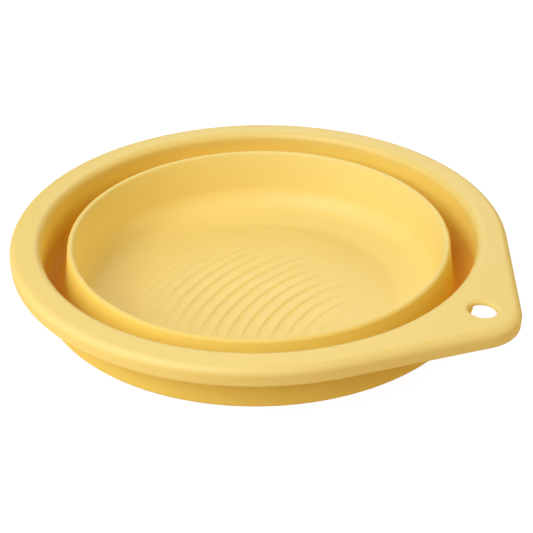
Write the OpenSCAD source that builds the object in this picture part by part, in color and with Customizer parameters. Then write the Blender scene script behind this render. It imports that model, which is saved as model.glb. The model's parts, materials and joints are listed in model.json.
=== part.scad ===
// Collapsible washtub, folded flat: a hard rim with a hang tab, a soft wall that turns over, and a hard
// base dish with a washboard. The origin is the centre of the underside, and the hang tab points along +X.

/* [Rim] */
// Radius of the rim's opening. The rim lies outside it, and the soft wall and the dish inside it
rim_inner_r = 158.5; // [140:0.5:178]
// Width of the rim, from its opening to its skirt
rim_w = 21.5; // [18:0.5:30]
// Height of the rim's top face above the floor, folded
rim_z = 64; // [60:0.5:75]
// Thickness of the rim's plate, skirt and collar
rim_t = 3.5; // [2:0.1:4.5]
// Radius of the rounded outer edge
rim_edge_r = 5.5; // [5:0.1:8]
// Radius of the rounded inner edge
rim_inner_edge_r = 6; // [5:0.1:7]
// Depth of the skirt, from the top face to its lower edge
skirt_h = 12.3; // [9:0.1:16]
// Depth of the collar inside the opening, from the top face to the soft wall
collar_h = 9; // [8:0.1:12]

/* [Hang tab] */
// How far the tab's tip stands out past the rim
tab_out = 29; // [24:0.5:45]
// Radius of the tab's round tip
tab_tip_r = 33.5; // [26:0.5:38]
// Diameter of the hang hole
hang_hole_d = 18; // [12:0.5:24]
// Distance of the hang hole's middle from the tab's tip
hang_hole_in = 24; // [20:0.5:30]

/* [Soft wall] */
// Thickness of the outer wall, the folds and the basin wall
wall_t = 2.2; // [1.6:0.1:2.6]
// How much wider the lower fold is than the rim's opening
fold_flare = 3; // [2.2:0.1:6]
// Height of the lower fold's underside above the floor
fold_z = 20; // [14:0.5:26]
// Width of the lower fold, across its channel
fold_w = 16.4; // [15:0.1:19]
// Radius of the lower fold's outer corner, below the outer wall
fold_outer_r = 4; // [3:0.1:6]
// Radius of the lower fold's inner corner, below the flip wall
fold_inner_r = 8; // [6:0.1:9]
// How far the flip wall leans in, from the lower fold to the lip
flip_run = 4.9; // [4.5:0.1:8]
// Height of the lip's crest above the floor
lip_z = 56.5; // [52:0.5:58]
// Radius of the lip's rounded section
lip_bead_r = 2.25; // [2.2:0.05:3]
// Thickness of the flip wall
flip_t = 1.1; // [0.8:0.1:1.2]
// Height by which neighbouring bands of the flip wall lap
flip_lap = 1; // [0.4:0.1:2]
// How much wider the basin wall is at the lip than at the dish's top
basin_flare = 1.2; // [0:0.1:4]

/* [Base dish] */
// Radius of the flat floor
floor_r = 102; // [94:0.5:106]
// Thickness of the base
base_t = 2.5; // [1.8:0.1:3.2]
// Height of the dish's top above the floor, where the soft wall starts
kink_z = 27.5; // [24:0.5:34]
// Inner radius of the bend between the floor and the dish's side
floor_bend_r = 10; // [5:0.5:14]
// Inner radius of the bend at the dish's top
kink_bend_r = 20; // [12:0.5:22]

/* [Washboard] */
// Number of ribs
rib_count = 15; // [8:1:16]
// Distance between neighbouring ribs
rib_pitch = 10.3; // [8:0.1:11]
// Height of a rib above the floor
rib_h = 1.5; // [0.6:0.1:2]
// Width of a rib's foot
rib_foot_w = 9; // [5:0.1:10]
// Width of a rib's crest
rib_crest_w = 4; // [1:0.1:4.5]
// Radius of the middle rib, which curves about a centre on the tab's side
rib_mid_r = 159; // [130:1:220]
// Where the middle rib crosses the tab's axis, from the tub's axis
rib_mid_x = -2; // [-6:0.5:6]
// Radius of the washboard's round outline
board_r = 82; // [60:1:88]
// Where the outline's middle lies on the tab's axis, from the tub's axis
board_mid_x = -8; // [-10:0.5:6]

/* [Fit] */
// Running clearance between pieces that pass each other
run_gap = 0.3; // [0.2:0.05:0.5]

/* [Hidden] */
$fn = 144;
// Length by which joined shapes of one piece run into each other
lap = 1;
// Segments in each bend
bend_steps = 6;

rim_colour = [0.95, 0.83, 0.53];
soft_colour = [0.93, 0.76, 0.36];
base_colour = [0.96, 0.83, 0.48];

// Radii, each from the one before: the rim's skirt and the lower fold from the rim's opening, the lip's
// outer face from the fold, and the dish's top, where the soft wall starts, from the lip
rim_r = rim_inner_r + rim_w;
fold_r = rim_inner_r + fold_flare;
lip_r = fold_r - fold_w - flip_run;
kink_r = lip_r - 2 * lip_bead_r - basin_flare;

// Heights where the outer wall and the flip wall start on the lower fold, and where the lip's rounding starts
outer_foot_z = fold_z + fold_outer_r;
fold_hinge_z = fold_z + fold_inner_r;
lip_hinge_z = lip_z - lip_bead_r;
// Height of the flip wall. Unfolding turns the wall over and lifts the rim by twice this
flip_h = lip_hinge_z - fold_hinge_z;

// Tab outline: the tip circle and two straight sides that run just inside the circles they touch. The tip
// turns on past each side's end, up to its turn angle, and the hang hole lies on the tab's axis
tip_x = rim_r + tab_out - tab_tip_r;
hole_x = rim_r + tab_out - hang_hole_in;
tab_sink = 0.4;
tip_turn_a = acos(0.6);
touch_a = acos((rim_r - tab_tip_r) / tip_x);

// Flip wall: three bands, the upper ones narrower, so that each passes inside the one below it
band_count = 3;
band_h = flip_h / band_count;
band_in_r = lip_r + run_gap;
band_out_r = fold_r - fold_w - run_gap;
band_depth = (band_out_r - band_in_r - (band_count - 1) * run_gap) / band_count;

// Dish: the bends' centres, and the slope of the line that touches both bends
floor_bend_z = base_t + floor_bend_r;
kink_bend_x = kink_r - kink_bend_r;
bend_dx = kink_bend_x - floor_r;
bend_dz = kink_z - floor_bend_z;
dish_slope = atan2(bend_dz, bend_dx) + asin((floor_bend_r - kink_bend_r) / norm([bend_dx, bend_dz]));

// Washboard: the ribs' common centre, and how deep a rib's foot sits in the floor
rib_centre_x = rib_mid_x + rib_mid_r;
rib_root = base_t / 2;

// Points of an arc about (x, z), from angle a to angle b
function bend(x, z, r, a, b) =
    [for (i = [0:bend_steps]) let (w = a + (b - a) * i / bend_steps) [x + r * cos(w), z + r * sin(w)]];

// Section of the rim's outer edge: flat for reach, round the edge, then down the skirt and back up inside.
// The skirt's outer face is at x = skirt_x and the top face at y = 0
function edge_points(reach, skirt_x = 0) = concat(
    [[skirt_x - reach, 0]],
    bend(skirt_x - rim_edge_r, -rim_edge_r, rim_edge_r, 90, 0),
    [[skirt_x, -skirt_h], [skirt_x - rim_t, -skirt_h]],
    bend(skirt_x - rim_edge_r, -rim_edge_r, rim_edge_r - rim_t, 0, 90),
    [[skirt_x - reach, -rim_t]]
);

// Section of the ring, an upside-down trough: the outer edge with its skirt, and the inner edge with its collar
function ring_points() = concat(
    bend(rim_r - rim_edge_r, -rim_edge_r, rim_edge_r, 90, 0),
    [[rim_r, -skirt_h], [rim_r - rim_t, -skirt_h]],
    bend(rim_r - rim_edge_r, -rim_edge_r, rim_edge_r - rim_t, 0, 90),
    bend(rim_inner_r + rim_inner_edge_r, -rim_inner_edge_r, rim_inner_edge_r - rim_t, 90, 180),
    [[rim_inner_r + rim_t, -collar_h], [rim_inner_r, -collar_h]],
    bend(rim_inner_r + rim_inner_edge_r, -rim_inner_edge_r, rim_inner_edge_r, 180, 90)
);

// Straight side of the tab, on the +Y side, from inside the ring to inside the round tip. Its flat strip runs
// into the tab's plate
module tab_side() {
    rotate([0, 0, touch_a]) translate([rim_r - tab_sink, 0, 0])
        rotate([90, 0, 0]) linear_extrude(tip_x * sin(touch_a)) polygon(edge_points(rim_edge_r + 2 * lap));
}

// Area between the tab's two sides, from the ring's flat top to the tip, kept inset from the outline. It
// starts a little before the sides do
module tab_area(inset) {
    out = [cos(touch_a), sin(touch_a)];
    back = [-sin(touch_a), cos(touch_a)];
    root = (rim_r - inset) * out + lap * back;
    tip = [tip_x, 0] + (tab_tip_r - inset) * out;
    difference() {
        polygon([[0, 0], [root.x, -root.y], [tip.x, -tip.y], tip, root]);
        circle(rim_inner_r + rim_inner_edge_r + lap);
    }
}

// Flat plate of the tab, which runs into its sides' flat strips
module tab_plate() {
    translate([0, 0, -rim_t]) linear_extrude(rim_t) tab_area(rim_edge_r + lap);
}

// Round tip of the tab, which runs into both sides
module tab_tip() {
    translate([tip_x, 0, 0]) rotate([0, 0, -tip_turn_a])
        rotate_extrude(angle = 2 * tip_turn_a) polygon(edge_points(tab_tip_r, tab_tip_r));
}

// Hollow under the tab, between the skirts of its two sides, where the ring's own skirt is left out
module tab_hollow() {
    translate([0, 0, -skirt_h - lap]) linear_extrude(skirt_h + lap - rim_t) tab_area(rim_t + lap);
}

module rim() {
    color(rim_colour) translate([0, 0, rim_z]) difference() {
        union() {
            difference() {
                rotate_extrude() polygon(ring_points());
                tab_hollow();
            }
            tab_plate();
            tab_side();
            mirror([0, 1, 0]) tab_side();
            tab_tip();
        }
        translate([hole_x, 0, -rim_t - lap]) cylinder(d = hang_hole_d, h = rim_t + 2 * lap);
    }
}

module outer_wall() {
    top_z = rim_z - collar_h;
    color(soft_colour) rotate_extrude() polygon([
        [fold_r - wall_t, outer_foot_z],
        [fold_r, outer_foot_z],
        [rim_inner_r + wall_t, top_z],
        [rim_inner_r, top_z]
    ]);
}

// A round channel: under the outer corner, across its flat bottom and up the inner corner, then back above
module lower_fold() {
    outer_x = fold_r - fold_outer_r;
    inner_x = fold_r - fold_w + fold_inner_r;
    color(soft_colour) rotate_extrude() polygon(concat(
        bend(outer_x, outer_foot_z, fold_outer_r, 0, -90),
        bend(inner_x, fold_hinge_z, fold_inner_r, -90, -180),
        bend(inner_x, fold_hinge_z, fold_inner_r - wall_t, -180, -90),
        bend(outer_x, outer_foot_z, fold_outer_r - wall_t, -90, 0)
    ));
}

// One band of the flip wall: place 0 is the lowest and widest
module flip_band(place) {
    top_in_r = band_out_r - band_depth * (place + 1) - run_gap * place;
    foot_out_r = top_in_r + band_depth;
    foot_z = fold_hinge_z + band_h * place - flip_lap / 2;
    top_z = foot_z + band_h + flip_lap;
    color(soft_colour) rotate_extrude() polygon([
        [foot_out_r - flip_t, foot_z],
        [foot_out_r, foot_z],
        [top_in_r + flip_t, top_z],
        [top_in_r, top_z]
    ]);
}

module flip_wall_lower() { flip_band(0); }
module flip_wall_middle() { flip_band(1); }
module flip_wall_upper() { flip_band(2); }

module lip_fold() {
    color(soft_colour) rotate_extrude() translate([lip_r - lip_bead_r, lip_hinge_z]) intersection() {
        circle(lip_bead_r);
        translate([-lip_bead_r, 0]) square([2 * lip_bead_r, lip_bead_r]);
    }
}

module basin_wall() {
    top_in_r = lip_r - 2 * lip_bead_r;
    color(soft_colour) rotate_extrude() polygon([
        [kink_r, kink_z],
        [kink_r + base_t, kink_z],
        [top_in_r + wall_t, lip_hinge_z],
        [top_in_r, lip_hinge_z]
    ]);
}

// Half section of the dish: the floor, a bend, the straight side and the bend up to its top
module dish_section() {
    polygon(concat(
        [[0, 0]],
        bend(floor_r, floor_bend_z, floor_bend_r + base_t, -90, dish_slope - 90),
        bend(kink_bend_x, kink_z, kink_bend_r + base_t, dish_slope - 90, 0),
        bend(kink_bend_x, kink_z, kink_bend_r, 0, dish_slope - 90),
        bend(floor_r, floor_bend_z, floor_bend_r, dish_slope - 90, -90),
        [[0, base_t]]
    ));
}

// One rib of the washboard, a ring about the ribs' common centre
module rib_ring(r) {
    rotate_extrude() polygon([
        [r - rib_foot_w / 2, base_t - rib_root],
        [r + rib_foot_w / 2, base_t - rib_root],
        [r + rib_foot_w / 2, base_t],
        [r + rib_crest_w / 2, base_t + rib_h],
        [r - rib_crest_w / 2, base_t + rib_h],
        [r - rib_foot_w / 2, base_t]
    ]);
}

// The washboard: every rib, cut to the round outline
module washboard() {
    intersection() {
        translate([rib_centre_x, 0, 0]) for (i = [0:rib_count - 1])
            rib_ring(rib_mid_r + (i - (rib_count - 1) / 2) * rib_pitch);
        translate([board_mid_x, 0, 0]) cylinder(r = board_r, h = base_t + 2 * rib_h);
    }
}

module base() {
    color(base_colour) {
        rotate_extrude() dish_section();
        washboard();
    }
}

rim();
outer_wall();
lower_fold();
flip_wall_lower();
flip_wall_middle();
flip_wall_upper();
lip_fold();
basin_wall();
base();
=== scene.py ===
# %% [markdown]
# # A folding washtub
# The tub stands folded: a hard rim with a hang tab, a soft wall that has turned over on itself, and a
# shallow dish with a washboard floor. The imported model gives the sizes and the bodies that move. This
# lesson makes the smooth skins that show, gives them the pale yellow finish of moulded plastic, and lights
# them softly.

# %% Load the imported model
import json
import math

import bpy
import numpy as np
from mathutils import Matrix, Vector
from mathutils.geometry import delaunay_2d_cdt


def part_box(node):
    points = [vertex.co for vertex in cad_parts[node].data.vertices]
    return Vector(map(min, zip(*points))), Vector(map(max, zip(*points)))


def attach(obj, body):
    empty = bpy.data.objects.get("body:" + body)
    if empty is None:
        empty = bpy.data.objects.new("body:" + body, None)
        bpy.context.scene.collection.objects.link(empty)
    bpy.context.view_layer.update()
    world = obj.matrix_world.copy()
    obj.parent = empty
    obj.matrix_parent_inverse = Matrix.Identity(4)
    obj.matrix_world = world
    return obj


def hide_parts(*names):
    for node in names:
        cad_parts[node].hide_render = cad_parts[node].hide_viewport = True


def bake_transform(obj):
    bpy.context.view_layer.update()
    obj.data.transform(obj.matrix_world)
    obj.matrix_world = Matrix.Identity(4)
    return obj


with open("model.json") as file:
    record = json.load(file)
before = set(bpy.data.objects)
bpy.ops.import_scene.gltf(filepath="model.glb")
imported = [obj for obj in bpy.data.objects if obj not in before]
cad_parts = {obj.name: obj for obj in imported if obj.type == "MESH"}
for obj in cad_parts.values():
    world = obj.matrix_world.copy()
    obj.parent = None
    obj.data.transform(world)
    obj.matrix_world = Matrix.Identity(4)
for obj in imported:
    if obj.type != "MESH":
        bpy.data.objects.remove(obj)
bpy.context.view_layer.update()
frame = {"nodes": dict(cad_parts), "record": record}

MM = 0.001
print("nodes:", sorted(frame["nodes"]))

# %% [markdown]
# ## Sizes
# The skins have to lie where the solids are, so their main radii and heights are measured on the solids.
# A size could be typed in again here instead, but then a change to the part would leave the skins behind.
# Only the finer sizes, such as the rounding of an edge, are typed, in millimetres.


# %% Measure the solids
def ring_reach(node):
    """Least and greatest distance from the tub's axis, over a node's corners on the side away from
    the tab."""
    mesh = frame["nodes"][node].data
    corners = np.empty(len(mesh.vertices) * 3, np.float32)
    mesh.vertices.foreach_get("co", corners)
    x, y, _ = corners.reshape(-1, 3).T.astype(float)
    away = np.hypot(x, y)[x < 0]
    return away.min(), away.max()


rim_in, rim_out = ring_reach("rim")
rim_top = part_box("rim")[1].z
collar_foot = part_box("outer_wall")[1].z
fold_out = ring_reach("lower_fold")[1]
fold_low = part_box("lower_fold")[0].z
fold_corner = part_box("outer_wall")[0].z - fold_low
lip_in, lip_out = ring_reach("lip_fold")
lip_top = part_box("lip_fold")[1].z
dish_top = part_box("base")[1].z
hang_hole = next(m for m in frame["record"]["mounts"] if m["name"] == "hang_hole")
hole_x = hang_hole["pos_m"][0]
hole_r = hang_hole["dims"]["r_mm"] * MM
print("rim from", round(rim_in, 4), "to", round(rim_out, 4), "lip", round(lip_in, 4), round(lip_out, 4))

# %% [markdown]
# ## Surfaces from arrays
# Almost every surface here is a profile carried along a path. A ring is the simplest case: the path
# shrinks to a point on the axis, and the profile goes round it. Modelling by hand, or a Screw modifier,
# would give the same ring, but one formula also serves the rim, whose outer edge follows a drop shape. The
# points are worked out as one array, row by row of the profile, and neighbouring rows are joined with
# four-sided faces.

# %% Profiles
SAME_POINT = 1e-7


def arc(centre, radius, start, stop, steps):
    """Points at one radius from a centre, from angle start to angle stop, in degrees."""
    turn = np.radians(np.linspace(start, stop, steps + 1))
    return np.column_stack([centre[0] + radius * np.cos(turn), centre[1] + radius * np.sin(turn)])


def straight(a, b, steps):
    """Evenly spaced points from a to b."""
    share = np.linspace(0, 1, steps + 1)[:, None]
    return np.asarray(a) * (1 - share) + np.asarray(b) * share


def joined(*parts):
    """The parts one after another, without the points that repeat the one before."""
    points = np.vstack(parts)
    step = np.linalg.norm(np.diff(points, axis=0), axis=1)
    return points[np.concatenate([[True], step > SAME_POINT])]


# %% Paths
def directions(count):
    """Unit directions, evenly spaced round a full turn."""
    turn = np.arange(count) * 2 * np.pi / count
    return np.column_stack([np.cos(turn), np.sin(turn)])


def carry(path, outward, profile):
    """Profile points (out, height) carried along a flat path: each goes out from the path by its distance."""
    flat = path[None] + profile[:, :1, None] * outward[None]
    height = np.broadcast_to(profile[:, 1, None, None], flat.shape[:2] + (1,))
    return np.concatenate([flat, height], axis=2)


# %% Faces
def numbered(start, rows, columns):
    """The numbers of a grid's points, row by row, from the first one on."""
    return start + np.arange(rows * columns).reshape(rows, columns)


def loop_faces(loops):
    """Four-sided faces between each closed loop of point numbers and the next loop."""
    ahead = np.roll(loops, -1, axis=1)
    return np.stack([loops[:-1], loops[1:], ahead[1:], ahead[:-1]], axis=-1).reshape(-1, 4)


def volume(points, faces):
    """Signed volume of a closed mesh: each triangle and the origin span a pyramid, a sixth of the box on
    the same edges, and these add up."""
    a, b, c = points[faces[:, 0]], points[faces[:, 1]], points[faces[:, 2]]
    total = np.einsum("ij,ij->", a, np.cross(b, c))
    if faces.shape[1] == 4:
        d = points[faces[:, 3]]
        total += np.einsum("ij,ij->", a, np.cross(c, d))
    return total / 6


# %% Piece maker
SHARP = math.radians(35)
ML_PER_M3 = 1e6


def new_object(name, data):
    """An object with the given data, linked into the scene."""
    made = bpy.data.objects.new(name, data)
    bpy.context.scene.collection.objects.link(made)
    return made


def make_piece(name, points, face_sets, marks):
    """A mesh object from points and faces, turned to face out, with named marks kept on its points."""
    held = sum(volume(points, faces) for faces in face_sets)
    if held < 0:
        face_sets = [faces[:, ::-1] for faces in face_sets]
    mesh = bpy.data.meshes.new(name)
    mesh.from_pydata(points.tolist(), [], sum([faces.tolist() for faces in face_sets], []))
    for label, values in marks.items():
        layer = mesh.attributes.new(label, "FLOAT", "POINT")
        layer.data.foreach_set("value", values.astype(np.float32))
    mesh.shade_smooth()
    mesh.set_sharp_from_angle(angle=SHARP)
    triangles = sum(len(faces) * (faces.shape[1] - 2) for faces in face_sets)
    print(name, "has", triangles, "triangles and holds", round(abs(held) * ML_PER_M3, 1), "ml")
    return new_object(name, mesh)


# %% [markdown]
# ## Finishes
# The tub is one colour all over: pale yellow plastic that fills with orange in the folds, because light
# there has bounced from yellow to yellow. So the colour stays nearly even, with painted shade that deepens
# it to gold on the folded pieces and to orange at the bottom of the fold, and a paler painted sheen on
# rounded edges, the lip and the ribs' tops. The light does the rest. What differs is the skin. The rim and
# the dish are hard and satin, the soft wall is matte, and its folded part has the least gloss. All have the
# fine grain of an etched mould. A single colour could be typed into each material, but it would look flat.
# So the tone, with its slow drift, its painted sheen and its painted shade, and the grain are two node
# groups, made once, and each of the four finishes gives them its own values.


# %% Node helpers
def new_group(name, inputs, outputs):
    """An empty shader group whose inputs and outputs are given by their names and kinds."""
    tree = bpy.data.node_groups.new(name, "ShaderNodeTree")
    for side, sockets in (("INPUT", inputs), ("OUTPUT", outputs)):
        for label, kind in sockets.items():
            tree.interface.new_socket(label, in_out=side, socket_type=kind)
    return tree, tree.nodes.new("NodeGroupInput"), tree.nodes.new("NodeGroupOutput")


def add(tree, kind, **settings):
    """A new node with its settings."""
    node = tree.nodes.new(kind)
    for key, value in settings.items():
        setattr(node, key, value)
    return node


def noise_of_size(tree, size_socket, detail):
    """A noise on Object coordinates, whose patches are as large as the size, in metres."""
    place = add(tree, "ShaderNodeTexCoord")
    per_metre = add(tree, "ShaderNodeMath", operation="DIVIDE")
    noise = add(tree, "ShaderNodeTexNoise")
    per_metre.inputs[0].default_value = 1.0
    noise.inputs["Detail"].default_value = detail
    tree.links.new(size_socket, per_metre.inputs[1])
    tree.links.new(place.outputs["Object"], noise.inputs["Vector"])
    tree.links.new(per_metre.outputs[0], noise.inputs["Scale"])
    return noise.outputs["Fac"]


def marked_mix(tree, label, share_socket, under, over_socket):
    """A colour laid over another one as far as a mark on the piece's points and a share say."""
    mark = add(tree, "ShaderNodeAttribute", attribute_name=label)
    weight = add(tree, "ShaderNodeMath", operation="MULTIPLY")
    mix = add(tree, "ShaderNodeMix", data_type="RGBA")
    tree.links.new(mark.outputs["Fac"], weight.inputs[0])
    tree.links.new(share_socket, weight.inputs[1])
    tree.links.new(weight.outputs[0], mix.inputs["Factor"])
    tree.links.new(under, mix.inputs["A"])
    tree.links.new(over_socket, mix.inputs["B"])
    return mix.outputs["Result"]


# %% Tone group
COLOUR = "NodeSocketColor"
NUMBER = "NodeSocketFloat"
DRIFT_DETAIL = 2.0
# The tone drifts at random. Over that it lays a paler painted sheen on points marked as edges and a deeper
# painted shade on points marked as folded.
tone_group, tone_in, tone_out = new_group(
    "drifting_tone_and_painted_light",
    {"Tone": COLOUR, "Second tone": COLOUR, "Patch size": NUMBER,
     "Painted sheen tone": COLOUR, "Painted sheen share": NUMBER,
     "Painted shade tone": COLOUR, "Painted shade share": NUMBER},
    {"Colour": COLOUR})
drift = add(tone_group, "ShaderNodeMix", data_type="RGBA")
patches = noise_of_size(tone_group, tone_in.outputs["Patch size"], DRIFT_DETAIL)
tone_group.links.new(patches, drift.inputs["Factor"])
tone_group.links.new(tone_in.outputs["Tone"], drift.inputs["A"])
tone_group.links.new(tone_in.outputs["Second tone"], drift.inputs["B"])
edged = marked_mix(tone_group, "edge", tone_in.outputs["Painted sheen share"], drift.outputs["Result"],
                   tone_in.outputs["Painted sheen tone"])
folded = marked_mix(tone_group, "fold", tone_in.outputs["Painted shade share"], edged, tone_in.outputs["Painted shade tone"])
tone_group.links.new(folded, tone_out.inputs["Colour"])
print(tone_group.name, "puts out", [s.name for s in tone_out.inputs if s.name])

# %% Grain group
GRAIN_DETAIL = 3.0
POLISH_DETAIL = 4.0
grain_group, grain_in, grain_out = new_group(
    "moulded_grain",
    {"Grain size": NUMBER, "Polish size": NUMBER, "Smooth": NUMBER, "Rough": NUMBER},
    {"Height": NUMBER, "Roughness": NUMBER})
polish = add(grain_group, "ShaderNodeMapRange")
grain_height = noise_of_size(grain_group, grain_in.outputs["Grain size"], GRAIN_DETAIL)
polish_patches = noise_of_size(grain_group, grain_in.outputs["Polish size"], POLISH_DETAIL)
grain_group.links.new(polish_patches, polish.inputs["Value"])
grain_group.links.new(grain_in.outputs["Smooth"], polish.inputs["To Min"])
grain_group.links.new(grain_in.outputs["Rough"], polish.inputs["To Max"])
grain_group.links.new(grain_height, grain_out.inputs["Height"])
grain_group.links.new(polish.outputs["Result"], grain_out.inputs["Roughness"])
print(grain_group.name, "puts out", [s.name for s in grain_out.inputs if s.name])

# %% Finish maker
PLASTIC_IOR = 1.5
BUMP_STRENGTH = 1.0


def finish(name, tones, grain, bump, gloss):
    """A moulded plastic from its tones, the grain's sizes and roughness, the grain's depth and its gloss."""
    material = bpy.data.materials.new(name)
    material.use_nodes = True
    tree = material.node_tree
    skin = tree.nodes["Principled BSDF"]
    tone = add(tree, "ShaderNodeGroup", node_tree=tone_group)
    texture = add(tree, "ShaderNodeGroup", node_tree=grain_group)
    relief = add(tree, "ShaderNodeBump")
    for label, value in tones.items():
        tone.inputs[label].default_value = value
    for label, value in grain.items():
        texture.inputs[label].default_value = value
    relief.inputs["Strength"].default_value = BUMP_STRENGTH
    relief.inputs["Distance"].default_value = bump
    skin.inputs["IOR"].default_value = PLASTIC_IOR
    skin.inputs["Specular IOR Level"].default_value = gloss
    tree.links.new(tone.outputs["Colour"], skin.inputs["Base Color"])
    tree.links.new(texture.outputs["Roughness"], skin.inputs["Roughness"])
    tree.links.new(texture.outputs["Height"], relief.inputs["Height"])
    tree.links.new(relief.outputs["Normal"], skin.inputs["Normal"])
    print("finish", name)
    return material


# %% Tones
PALE = (0.93, 0.71, 0.222, 1)
SECOND_PALE = (0.925, 0.70, 0.21, 1)
DISH_PALE = (0.94, 0.73, 0.238, 1)
SECOND_DISH_PALE = (0.935, 0.72, 0.226, 1)
BASIN_PALE = (0.95, 0.76, 0.26, 1)
SECOND_BASIN_PALE = (0.945, 0.75, 0.25, 1)
# A deeper gold than the soft wall's yellow: painted shade for the pieces that sit in the channel.
SHADED_GOLD = (0.98, 0.757, 0.168, 1)
SECOND_SHADED_GOLD = (0.975, 0.747, 0.16, 1)
# Paler painted sheen for rounded edges, the lip and the ribs' tops, and a dimmer, paler one for the folded
# pieces' crest.
PAINTED_SHEEN = (0.94, 0.73, 0.26, 1)
CREST_PAINTED_SHEEN = (0.91, 0.67, 0.19, 1)
# Orange painted shade for the bottom of the channel.
DEEP_PAINTED_SHADE = (0.89, 0.425, 0.03, 1)
YELLOW = {"Tone": PALE, "Second tone": SECOND_PALE, "Patch size": 120 * MM,
          "Painted sheen tone": PAINTED_SHEEN, "Painted sheen share": 0.35, "Painted shade tone": DEEP_PAINTED_SHADE, "Painted shade share": 1.0}
YELLOW_WITH_SHADED_COLLAR = {**YELLOW, "Painted shade tone": SHADED_GOLD}
DISH_YELLOW = {**YELLOW, "Tone": DISH_PALE, "Second tone": SECOND_DISH_PALE}
BASIN_YELLOW = {**YELLOW, "Tone": BASIN_PALE, "Second tone": SECOND_BASIN_PALE}
SHADED_GOLDEN = {**YELLOW, "Tone": SHADED_GOLD, "Second tone": SECOND_SHADED_GOLD, "Painted sheen tone": CREST_PAINTED_SHEEN, "Painted sheen share": 1.0}
print("a finish gives these tones:", list(YELLOW))

# %% Four finishes
SATIN = {"Grain size": 0.7 * MM, "Polish size": 40 * MM, "Smooth": 0.44, "Rough": 0.56}
MATTE = {"Grain size": 0.5 * MM, "Polish size": 25 * MM, "Smooth": 0.52, "Rough": 0.64}
GRAIN_DEEP = 0.02 * MM
RIM_GRAIN_DEEP = 0.04 * MM
GLOSS = 0.5
FOLD_GLOSS = 0.15
rim_finish = finish("satin_rim", YELLOW_WITH_SHADED_COLLAR, SATIN, RIM_GRAIN_DEEP, GLOSS)
dish_finish = finish("satin_dish", DISH_YELLOW, SATIN, GRAIN_DEEP, GLOSS)
basin_finish = finish("matte_basin_wall", BASIN_YELLOW, MATTE, GRAIN_DEEP, GLOSS)
shaded_fold_finish = finish("matte_folded_wall_painted_shade", SHADED_GOLDEN, MATTE, GRAIN_DEEP, FOLD_GLOSS)

# %% [markdown]
# ## The rim
# The rim is a hard moulding: a flat top with rounded edges, a skirt outside, a collar inside and a tab with
# a hole to hang it by. Seen from above its outline is a drop, a large circle and a small one with two
# straight sides that touch both. Joining boxes and cylinders and bevelling them would leave creases where
# the sides meet the circles. So three edges are carried along their own paths, the drop, the opening and
# the hole, each with its rounding, and the flat faces between them are filled in.

# %% Rim sizes
TAB_TIP = 33.5 * MM
RIM_THICK = 3.5 * MM
RIM_EDGE = 5.5 * MM
RIM_INNER_EDGE = 6 * MM
SKIRT = 12.3 * MM
SKIRT_FOOT_ROUND = 0.8 * MM
HOLE_ROUND = 2.4 * MM
HOLE_FOOT_ROUND = 0.6 * MM
FLAT_MARGIN = 2 * MM
HOLE_MARGIN = 1 * MM
tip_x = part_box("rim")[1].x - TAB_TIP
touch = math.acos((rim_out - TAB_TIP) / tip_x)
print("tab sides touch the ring", round(math.degrees(touch), 1), "degrees from its middle")

# %% Rim outline
RIM_STEPS = 300
TIP_STEPS = 48


def drop_outline():
    """The drop's points and outward directions, in order: the tip's arc and then the ring's. The straight
    sides run from the end of one arc to the start of the other."""
    tip_turn = np.linspace(-touch, touch, TIP_STEPS + 1)
    ring_turn = np.linspace(touch, 2 * np.pi - touch, RIM_STEPS + 1)
    turn = np.concatenate([tip_turn, ring_turn])
    outward = np.column_stack([np.cos(turn), np.sin(turn)])
    tip = np.array([tip_x, 0]) + TAB_TIP * outward[:len(tip_turn)]
    ring = rim_out * outward[len(tip_turn):]
    return np.vstack([tip, ring]), outward


# %% Rim profiles
RIM_BEND_STEPS = 12
HOLE_BEND_STEPS = 8


def rim_edge_profile():
    """From the flat top over the rounded edge, down the skirt, round its foot and back up inside."""
    top, under, foot = rim_top, rim_top - RIM_THICK, rim_top - SKIRT
    bend = (-RIM_EDGE, rim_top - RIM_EDGE)
    foot_middle = foot + SKIRT_FOOT_ROUND
    return joined(
        [(-RIM_EDGE - FLAT_MARGIN, top)],
        arc(bend, RIM_EDGE, 90, 0, RIM_BEND_STEPS),
        straight((0, bend[1]), (0, foot_middle), steps=4),
        arc((-SKIRT_FOOT_ROUND, foot_middle), SKIRT_FOOT_ROUND, 0, -90, steps=5),
        arc((-RIM_THICK + SKIRT_FOOT_ROUND, foot_middle), SKIRT_FOOT_ROUND, -90, -180, steps=5),
        arc(bend, RIM_EDGE - RIM_THICK, 0, 90, steps=6),
        [(-RIM_EDGE - FLAT_MARGIN, under)])


def rim_opening_profile():
    """From the flat top over the inner edge, down the collar, across its foot and back up outside it."""
    top, under = rim_top, rim_top - RIM_THICK
    bend = (rim_in + RIM_INNER_EDGE, rim_top - RIM_INNER_EDGE)
    return joined(
        [(bend[0] + FLAT_MARGIN, top)],
        arc(bend, RIM_INNER_EDGE, 90, 180, RIM_BEND_STEPS),
        straight((rim_in, bend[1]), (rim_in, collar_foot), steps=2),
        [(rim_in + RIM_THICK, collar_foot)],
        arc(bend, RIM_INNER_EDGE - RIM_THICK, 180, 90, steps=6),
        [(bend[0] + FLAT_MARGIN, under)])


def hang_hole_profile():
    """From the flat top over a broad rounding, down the hole's wall, round its foot and out underneath."""
    top, under = rim_top, rim_top - RIM_THICK
    top_out, foot_out = hole_r + HOLE_ROUND, hole_r + HOLE_FOOT_ROUND
    return joined(
        [(top_out + HOLE_MARGIN, top)],
        arc((top_out, top - HOLE_ROUND), HOLE_ROUND, 90, 180, HOLE_BEND_STEPS),
        arc((foot_out, under + HOLE_FOOT_ROUND), HOLE_FOOT_ROUND, 180, 270, steps=4),
        [(top_out + HOLE_MARGIN, under)])


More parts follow.
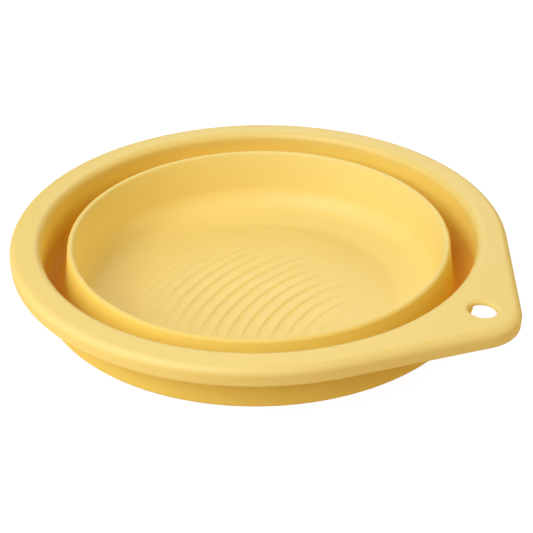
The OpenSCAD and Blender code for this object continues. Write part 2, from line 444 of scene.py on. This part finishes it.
# %% Rim strips
HOLE_STEPS = 72
AXIS = np.zeros((1, 2))
hole_middle = np.array([[hole_x, 0]])
outline, outline_out = drop_outline()
strips = [
    carry(outline, outline_out, rim_edge_profile()),
    carry(AXIS, directions(RIM_STEPS), rim_opening_profile()),
    carry(hole_middle, directions(HOLE_STEPS), hang_hole_profile()),
]
strip_starts = np.cumsum([0] + [s.shape[0] * s.shape[1] for s in strips])[:-1]
strip_numbers = [numbered(start, *s.shape[:2]) for start, s in zip(strip_starts, strips)]
rim_points = np.vstack([s.reshape(-1, 3) for s in strips])
outer_faces = loop_faces(strip_numbers[0])
inner_faces = np.vstack([loop_faces(n) for n in strip_numbers[1:]])[:, ::-1]
print("rim strips:", [s.shape[:2] for s in strips])

# %% Rim flat faces
WHOLE_HULL = 0
FILL_NEAR = 1e-9


def flat_fill(row):
    """Triangles of the flat face between the outline, the opening and the hole, in the given row of the
    strips. The three loops are joined by a triangulation that keeps their edges, and what lies in the
    opening or the hole is left out."""
    numbers = np.concatenate([n[row] for n in strip_numbers])
    flat = rim_points[numbers, :2]
    ends = np.cumsum([len(n[row]) for n in strip_numbers])
    loops = [np.arange(end - len(n[row]), end) for n, end in zip(strip_numbers, ends)]
    edges = np.vstack([np.column_stack([loop, np.roll(loop, -1)]) for loop in loops])
    made = delaunay_2d_cdt(list(map(Vector, flat)), edges.tolist(), [], WHOLE_HULL, FILL_NEAR)
    faces, sources = made[2:4]
    triangles = np.array(sources).ravel()[np.array(faces)]
    middle = flat[triangles].mean(axis=1)
    opening = np.linalg.norm(flat[loops[1]], axis=1).max()
    hole = np.linalg.norm(flat[loops[2]] - hole_middle, axis=1).max()
    beside_hole = np.linalg.norm(middle - hole_middle, axis=1) > hole
    return numbers[triangles[beside_hole & (np.linalg.norm(middle, axis=1) > opening)]]


top_fill = flat_fill(0)
under_fill = flat_fill(-1)[:, ::-1]
print("rim fills:", len(top_fill), "and", len(under_fill), "triangles")

# %% Rim marks
# The collar takes the deeper gold as painted shade, more the further it goes down into the channel.
COLLAR_SHADE_POWER = 2


def sheen_on_bend(strip, bend_steps):
    """Where the paler painted sheen lies on the bend that starts the strip's profile: one in its middle,
    fading to nothing a row past each of its ends, as the square of a sine."""
    row = np.arange(strip.shape[0])
    share = np.clip(row / (bend_steps + 2), 0, 1)
    return np.repeat(np.sin(np.pi * share) ** 2, strip.shape[1])


rim_painted_sheen = np.concatenate([
    sheen_on_bend(strips[0], RIM_BEND_STEPS),
    sheen_on_bend(strips[1], RIM_BEND_STEPS),
    sheen_on_bend(strips[2], HOLE_BEND_STEPS)])
collar_drop = np.clip((rim_top - strips[1][:, :, 2]) / (rim_top - collar_foot), 0, 1).ravel()
rim_painted_shade = np.zeros(len(rim_points))
rim_painted_shade[strip_starts[1]:strip_starts[2]] = collar_drop ** COLLAR_SHADE_POWER
print("marks on", len(rim_painted_sheen), "points of the rim")

# %% Rim piece
rim_faces = [np.vstack([outer_faces, inner_faces]), np.vstack([top_fill, under_fill])]
rim_piece = make_piece("rim_skin", rim_points, rim_faces, {"edge": rim_painted_sheen, "fold": rim_painted_shade})
rim_piece.data.materials.append(rim_finish)
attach(rim_piece, "rim")
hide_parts("rim")

# %% [markdown]
# ## The soft wall
# The wall between the rim and the dish is one soft moulding, folded twice: it hangs down from the rim,
# turns up in a round channel, leans in to a lip and goes down again into the dish. When the tub is pulled
# open, the leaning part turns over. A cloth simulation could show that, but a wall this stiff keeps its
# thickness and only bends at its folds. So its section is drawn with lines and arcs that touch, and it is
# cut in the bottom of the channel and at the top of the lip, where the cut can't be seen. The outer piece
# rides on the rim, the inner one on the dish, and the leaning one is fixed to neither.

# %% Section of the soft wall
SOFT_THICK = 2.2 * MM
CHANNEL_ROUND = 5.8 * MM
CHANNEL_OUTER_ROUND = 9 * MM
LEAN_OUT = 4.0 * MM
channel_floor = fold_low + SOFT_THICK
corner_bend = np.array([fold_out - fold_corner, fold_low + fold_corner])
channel_bend = np.array([lip_out + LEAN_OUT + CHANNEL_ROUND, channel_floor + CHANNEL_ROUND])
outer_bend = np.array([fold_out - SOFT_THICK, channel_floor]) + (-CHANNEL_OUTER_ROUND, CHANNEL_OUTER_ROUND)
lip_bead = (lip_out - lip_in) / 2
lip_bend = np.array([lip_out - lip_bead, lip_top - lip_bead])
across = channel_bend - lip_bend
lean = math.acos((lip_bead + CHANNEL_ROUND) / np.linalg.norm(across)) + math.atan2(across[1], across[0])
lean_deg = math.degrees(lean)
face_out = np.array([math.cos(lean), math.sin(lean)])
print("the leaning wall stands", round(lean_deg, 1), "degrees off upright")

# %% Soft wall maker
RING_STEPS = 320
LIP_SHEEN_WIDTH = 1.5 * MM
NO_PAINTED_SHADE = 0.0
depth_below_collar = collar_foot - channel_floor


def channel_shade(profile, power):
    """Painted shade in the channel's wall, from nothing at its top to one at its bottom, as a power of the
    depth."""
    deep = np.clip((collar_foot - profile[:, 1]) / depth_below_collar, 0, 1)
    return deep ** power


def soft_piece(name, material, shown, hidden, shown_shade, hidden_shade):
    """A closed section carried round the axis. Each side is marked with its painted shade, and what lies near
    the lip's crest is marked for the paler painted sheen, by a bell curve of the height below it."""
    section = joined(shown, hidden)
    grid = carry(AXIS, directions(RING_STEPS), section)
    numbers = numbered(0, len(section), RING_STEPS)
    crest = np.exp(-((lip_top - section[:, 1]) / LIP_SHEEN_WIDTH) ** 2)
    fold = np.concatenate([shown_shade, np.full(len(section) - len(shown), hidden_shade)])
    piece = make_piece(name, grid.reshape(-1, 3), [loop_faces(np.vstack([numbers, numbers[:1]]))],
                       {"edge": np.repeat(crest, RING_STEPS), "fold": np.repeat(fold, RING_STEPS)})
    piece.data.materials.append(material)
    return piece


# %% Outer wall
# The channel's inside deepens to orange towards its bottom, and the outside takes a little of that orange all
# over; both are painted shade.
OUTER_SHADE_POWER = 3
OUTSIDE_PAINTED_SHADE = 0.1
outer_inside = joined(
    straight((rim_in, collar_foot), outer_bend + [CHANNEL_OUTER_ROUND, 0], steps=10),
    arc(outer_bend, CHANNEL_OUTER_ROUND, 0, -90, steps=14),
    [(channel_bend[0], channel_floor)])
outer_outside = joined(
    [(channel_bend[0], fold_low)],
    arc(corner_bend, fold_corner, -90, 0, steps=12),
    straight((fold_out, corner_bend[1]), (rim_in + SOFT_THICK, collar_foot), steps=10))
outer_piece = soft_piece("outer_wall_skin", shaded_fold_finish, outer_inside, outer_outside,
                         channel_shade(outer_inside, OUTER_SHADE_POWER), OUTSIDE_PAINTED_SHADE)
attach(outer_piece, "rim")
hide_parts("outer_wall", "lower_fold")

# %% Leaning wall
# The leaning face deepens to orange towards the channel's bottom, as painted shade.
LEANING_SHADE_POWER = 8
LEANING_STEPS = 28
lean_face = joined(
    arc(channel_bend, CHANNEL_ROUND, -90, lean_deg - 180, steps=10),
    straight(channel_bend - CHANNEL_ROUND * face_out, lip_bend + lip_bead * face_out, LEANING_STEPS),
    arc(lip_bend, lip_bead, lean_deg, 90, steps=10))
lean_back = joined(
    straight(lip_bend + (lip_bead - SOFT_THICK) * face_out,
             channel_bend - (CHANNEL_ROUND + SOFT_THICK) * face_out, LEANING_STEPS),
    arc(channel_bend, CHANNEL_ROUND + SOFT_THICK, lean_deg - 180, -90, steps=12))
leaning_piece = soft_piece("leaning_wall_skin", shaded_fold_finish, lean_face, lean_back,
                           channel_shade(lean_face, LEANING_SHADE_POWER), NO_PAINTED_SHADE)
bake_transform(leaning_piece)
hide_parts("flip_wall_lower", "flip_wall_middle", "flip_wall_upper")

# %% Basin wall
DISH_THICK = 2.5 * MM
FLARE = math.radians(11)
FLARE_STEPS = 24
kink_in = ring_reach("base")[1] - DISH_THICK
flare_top = lip_bend + lip_bead * np.array([-math.cos(FLARE), math.sin(FLARE)])
flare_rise, flare_out = flare_top[1] - dish_top, flare_top[0] - kink_in
# The face's distance from the kink is this power of its height, so that it touches the lip's rounding
flare_power = math.tan(FLARE) * flare_rise / flare_out
flare_share = np.linspace(1, 0, FLARE_STEPS + 1)[:, None]
basin_face = joined(
    arc(lip_bend, lip_bead, 90, 180 - math.degrees(FLARE), steps=10),
    (kink_in, dish_top) + flare_share ** (flare_power, 1) * (flare_out, flare_rise))
basin_back = straight((kink_in + DISH_THICK, dish_top), lip_bend, steps=12)
basin_piece = soft_piece("basin_wall_skin", basin_finish, basin_face, basin_back,
                         np.full(len(basin_face), NO_PAINTED_SHADE), NO_PAINTED_SHADE)
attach(basin_piece, "basin")
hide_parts("basin_wall", "lip_fold")

# %% [markdown]
# ## The dish and its washboard
# The base is a hard dish with a flat floor. Its washboard is a set of low ribs that bend round a point near
# the hang tab and fade out in an oval. Each rib is broad and level, with a narrow groove beside it. A bump
# in the material would look flat at a grazing angle and be lost in the mesh, so the ribs are real geometry.
# A grid round the tub's axis would cross the grooves at a slant and fray them. So the floor is a grid of
# its own, whose rows run along the ribs, and the dish's rings take over at its edge. The soft wall lets the
# dish twist a little under the rim, so the whole dish is turned by a small angle at the end.

# %% Dish sizes
FLOOR_R = 102 * MM
FLOOR_BEND = 18 * MM
KINK_BEND = 20 * MM
floor_bend = np.array([FLOOR_R, DISH_THICK + FLOOR_BEND])
kink_bend = np.array([kink_in - KINK_BEND, dish_top])
run = kink_bend - floor_bend
bends_turn = math.asin((FLOOR_BEND - KINK_BEND) / np.linalg.norm(run))
dish_slope = math.degrees(math.atan2(run[1], run[0]) + bends_turn)
print("the dish's side slopes", round(dish_slope, 1), "degrees")

# %% Washboard ribs
RIB_PITCH = 10.3 * MM
RIB_CENTRE_X = 157 * MM
RIB_MID_R = 156.5 * MM
RIB_HEIGHT = 1.4 * MM
GROOVE_HALF = 1.35 * MM
BOARD_MIDDLE_X = -7 * MM
BOARD_MIDDLE_Y = -7 * MM
BOARD_HALF_LENGTH = 94 * MM
BOARD_HALF_WIDTH = 92 * MM
BOARD_FADE = 0.64


def rib_share(x, y):
    """How high the ribs stand, from 0 to 1: one less a bell curve of the distance to the nearest groove,
    faded out by a smooth step towards the edge of an oval."""
    pitches = (np.hypot(x - RIB_CENTRE_X, y) - RIB_MID_R) / RIB_PITCH
    to_groove = RIB_PITCH * (pitches - np.floor(pitches) - 0.5)
    level = 1 - np.exp(-(to_groove / GROOVE_HALF) ** 2)
    out = np.hypot((x - BOARD_MIDDLE_X) / BOARD_HALF_LENGTH, (y - BOARD_MIDDLE_Y) / BOARD_HALF_WIDTH)
    inside = np.clip((1 - out) / BOARD_FADE, 0, 1)
    return level * inside * inside * (3 - 2 * inside)


# %% Washboard points
PATCH_R = 98 * MM
PATCH_ROWS = 560
PATCH_COLUMNS = 60


def arc_rows():
    """The floor disc's points in rows that are arcs about the ribs' centre. Each row starts on the disc's
    edge, at evenly turned places, and its points are evenly spaced along its arc."""
    turn = np.pi * np.arange(1, PATCH_ROWS) / PATCH_ROWS
    edge_x, edge_y = PATCH_R * np.cos(turn), PATCH_R * np.sin(turn)
    reach = np.hypot(RIB_CENTRE_X - edge_x, edge_y)[:, None]
    half_swing = np.arctan2(edge_y, RIB_CENTRE_X - edge_x)[:, None]
    swing = half_swing * np.linspace(1, -1, PATCH_COLUMNS + 1)
    return np.stack([RIB_CENTRE_X - reach * np.cos(swing), reach * np.sin(swing)], axis=-1).reshape(-1, 2)


floor_flat = np.vstack([arc_rows(), [(PATCH_R, 0), (-PATCH_R, 0)]])
floor_ribs = rib_share(*floor_flat.T)
floor_points = np.column_stack([floor_flat, DISH_THICK + RIB_HEIGHT * floor_ribs])
print("washboard floor:", len(floor_points), "points, ribs up to", round(floor_ribs.max(), 3))

# %% Washboard faces
floor_numbers = numbered(0, PATCH_ROWS - 1, PATCH_COLUMNS + 1)
near_end, far_end = floor_numbers.size, floor_numbers.size + 1
floor_quads = np.stack([floor_numbers[:-1, :-1], floor_numbers[1:, :-1],
                        floor_numbers[1:, 1:], floor_numbers[:-1, 1:]], axis=-1).reshape(-1, 4)
near_fan = np.column_stack([np.full(PATCH_COLUMNS, near_end), floor_numbers[0, :-1], floor_numbers[0, 1:]])
far_fan = np.column_stack([np.full(PATCH_COLUMNS, far_end), floor_numbers[-1, 1:], floor_numbers[-1, :-1]])
edge_loop = np.concatenate([[near_end], floor_numbers[:, 0], [far_end], floor_numbers[::-1, -1]])
print("washboard floor:", len(floor_quads), "four-sided faces, and", len(edge_loop), "points on its edge")

# %% Dish rings
UNDER_RING_R = FLOOR_R / 3
slope_turn = math.radians(dish_slope - 90)
slope_out = np.array([math.cos(slope_turn), math.sin(slope_turn)])
dish_profile = joined(
    straight((PATCH_R, DISH_THICK), (FLOOR_R, DISH_THICK), steps=2)[1:],
    arc(floor_bend, FLOOR_BEND, -90, dish_slope - 90, steps=6),
    straight(floor_bend + FLOOR_BEND * slope_out, kink_bend + KINK_BEND * slope_out, steps=5),
    arc(kink_bend, KINK_BEND, dish_slope - 90, 0, steps=16),
    arc(kink_bend, KINK_BEND + DISH_THICK, 0, dish_slope - 90, steps=8),
    arc(floor_bend, FLOOR_BEND + DISH_THICK, dish_slope - 90, -90, steps=4),
    straight((FLOOR_R, 0), (UNDER_RING_R, 0), steps=2))
dish_rings = carry(AXIS, directions(2 * PATCH_ROWS), dish_profile)
ring_numbers = numbered(len(floor_points), *dish_rings.shape[:2])
ring_faces = loop_faces(np.vstack([edge_loop, ring_numbers]))
middle_under = len(floor_points) + ring_numbers.size
last_ring = ring_numbers[-1]
under_fan = np.column_stack([np.full(len(last_ring), middle_under), np.roll(last_ring, -1), last_ring])
print("dish rings:", dish_rings.shape[:2])

# %% Dish piece
DISH_TWIST = math.radians(2)
# The ribs' tops take the paler painted sheen, so the grooves stay darker as painted shade.
RIB_PAINTED_SHEEN_PART = 0.5
twist = np.array(Matrix.Rotation(DISH_TWIST, 3, "Z"))
dish_points = np.vstack([floor_points, dish_rings.reshape(-1, 3), [(0, 0, 0)]]) @ twist.T
dish_faces = [np.vstack([floor_quads, ring_faces]), np.vstack([near_fan, far_fan, under_fan])]
dish_painted_sheen = np.zeros(len(dish_points))
dish_painted_sheen[:len(floor_ribs)] = RIB_PAINTED_SHEEN_PART * floor_ribs
dish_piece = make_piece("dish_skin", dish_points, dish_faces, {"edge": dish_painted_sheen})
dish_piece.data.materials.append(dish_finish)
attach(dish_piece, "basin")
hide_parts("base")

# %% [markdown]
# ## Floor, light and camera
# The tub stands on a plain white sweep that is lit until it is almost clear of shadow, as for a catalogue.
# That could be done with many lamps under the table. Here the sweep glows for the camera alone. For the tub
# it is a dull cream card, which throws a little warm light up and doesn't flood the tub's sides with white.
# The room behind is white for the camera alone too. So only the soft lights round the tub light it, the
# strongest at the front left. The camera's place was worked out from the tub's round edges. It is given
# here as a distance, a height angle and the point that it looks at, with heights counted from the underside
# of the fold.

# %% Floor
FLOOR_HALF = 4.0
floor_mesh = bpy.data.meshes.new("studio_floor")
floor_corners = FLOOR_HALF * np.array([[-1, -1, 0], [1, -1, 0], [1, 1, 0], [-1, 1, 0]])
floor_mesh.from_pydata(floor_corners.tolist(), [], [(0, 1, 2, 3)])
floor = new_object("studio_floor", floor_mesh)
print("floor", 2 * FLOOR_HALF, "m wide")

# %% Floor paint
WHITE = (1, 1, 1, 1)
CREAM = (0.82, 0.64, 0.42, 1)
SHADE_PART = (0.1, 0.1, 0.1, 1)
GLOW_PART = 0.97
DULL = 1.0
NO_GLOSS = 0.0
floor_paint = bpy.data.materials.new("white_sweep")
floor_paint.use_nodes = True
floor_tree = floor_paint.node_tree
card = floor_tree.nodes["Principled BSDF"]
card.inputs["Base Color"].default_value = CREAM
seen = add(floor_tree, "ShaderNodeBsdfPrincipled")
seen.inputs["Base Color"].default_value = SHADE_PART
seen.inputs["Emission Color"].default_value = WHITE
seen.inputs["Emission Strength"].default_value = GLOW_PART
for sheet in (card, seen):
    sheet.inputs["Roughness"].default_value = DULL
    sheet.inputs["Specular IOR Level"].default_value = NO_GLOSS
ray = add(floor_tree, "ShaderNodeLightPath")
either = add(floor_tree, "ShaderNodeMixShader")
floor_tree.links.new(ray.outputs["Is Camera Ray"], either.inputs["Fac"])
floor_tree.links.new(card.outputs["BSDF"], either.inputs[1])
floor_tree.links.new(seen.outputs["BSDF"], either.inputs[2])
floor_tree.links.new(either.outputs["Shader"], floor_tree.nodes["Material Output"].inputs["Surface"])
floor_mesh.materials.append(floor_paint)
print("floor paint", floor_paint.name)

# %% Lights
VIEW_TURN = math.radians(39.8)
STAGE_MIDDLE = Vector((0, 0, 0.04))
SOFTBOX = 1.2
NEUTRAL = (1, 1, 1)
WARM = (1.0, 0.85, 0.55)
from_view = Matrix.Rotation(VIEW_TURN, 4, "Z")


def soft_light(name, place, watts, tint=NEUTRAL):
    """A square area light at a place given as seen from the camera, right, away and up, aimed at the tub."""
    lamp = bpy.data.lights.new(name, "AREA")
    lamp.size = SOFTBOX
    lamp.energy = watts
    lamp.color = tint
    light = new_object(name, lamp)
    light.location = from_view @ Vector(place)
    light.rotation_euler = (light.location - STAGE_MIDDLE).to_track_quat("Z", "Y").to_euler()


soft_light("front_left_softbox", place=(-1.0, -1.1, 1.2), watts=19.5)
soft_light("high_left_softbox", place=(-0.8, -0.6, 1.7), watts=13)
soft_light("left_low_softbox", place=(-1.8, -0.2, 0.6), watts=6.8)
soft_light("right_softbox", place=(1.5, -0.3, 1.3), watts=4.8, tint=WARM)
soft_light("right_low_softbox", place=(1.75, -0.25, 0.85), watts=10.5, tint=WARM)
soft_light("back_softbox", place=(0.2, 1.5, 1.1), watts=10.5)

# %% Room
world = bpy.data.worlds.new("white_room")
world.use_nodes = True
room = world.node_tree.nodes["Background"]
room.inputs["Color"].default_value = WHITE
room_ray = add(world.node_tree, "ShaderNodeLightPath")
world.node_tree.links.new(room_ray.outputs["Is Camera Ray"], room.inputs["Strength"])
bpy.context.scene.world = world
bpy.context.scene.view_settings.view_transform = "Standard"
print("room", world.name)

# %% Camera
CAMERA_AWAY = 4.3201 * rim_out
CAMERA_RISE = math.radians(31.782)
CAMERA_ROLL = math.radians(-0.527)
LENS = 69.352
SENSOR = 36
LOOK_RIGHT = 0.02985 * rim_out
LOOK_UP = 0.02967 * rim_out
eye = Vector((0, -CAMERA_AWAY * math.cos(CAMERA_RISE), CAMERA_AWAY * math.sin(CAMERA_RISE)))
ahead = (Vector((LOOK_RIGHT, 0, LOOK_UP)) - eye).normalized()
right = ahead.cross(Vector((0, 0, 1))).normalized()
pose = Matrix((right, right.cross(ahead), -ahead)).transposed().to_4x4()
pose.translation = eye + Vector((0, 0, fold_low))
lens = bpy.data.cameras.new("photo_camera")
lens.lens = LENS
lens.sensor_width = SENSOR
camera = new_object("photo_camera", lens)
camera.matrix_world = from_view @ pose @ Matrix.Rotation(CAMERA_ROLL, 4, "Z")
bpy.context.scene.camera = camera
print("camera at", [round(v, 3) for v in camera.matrix_world.translation])
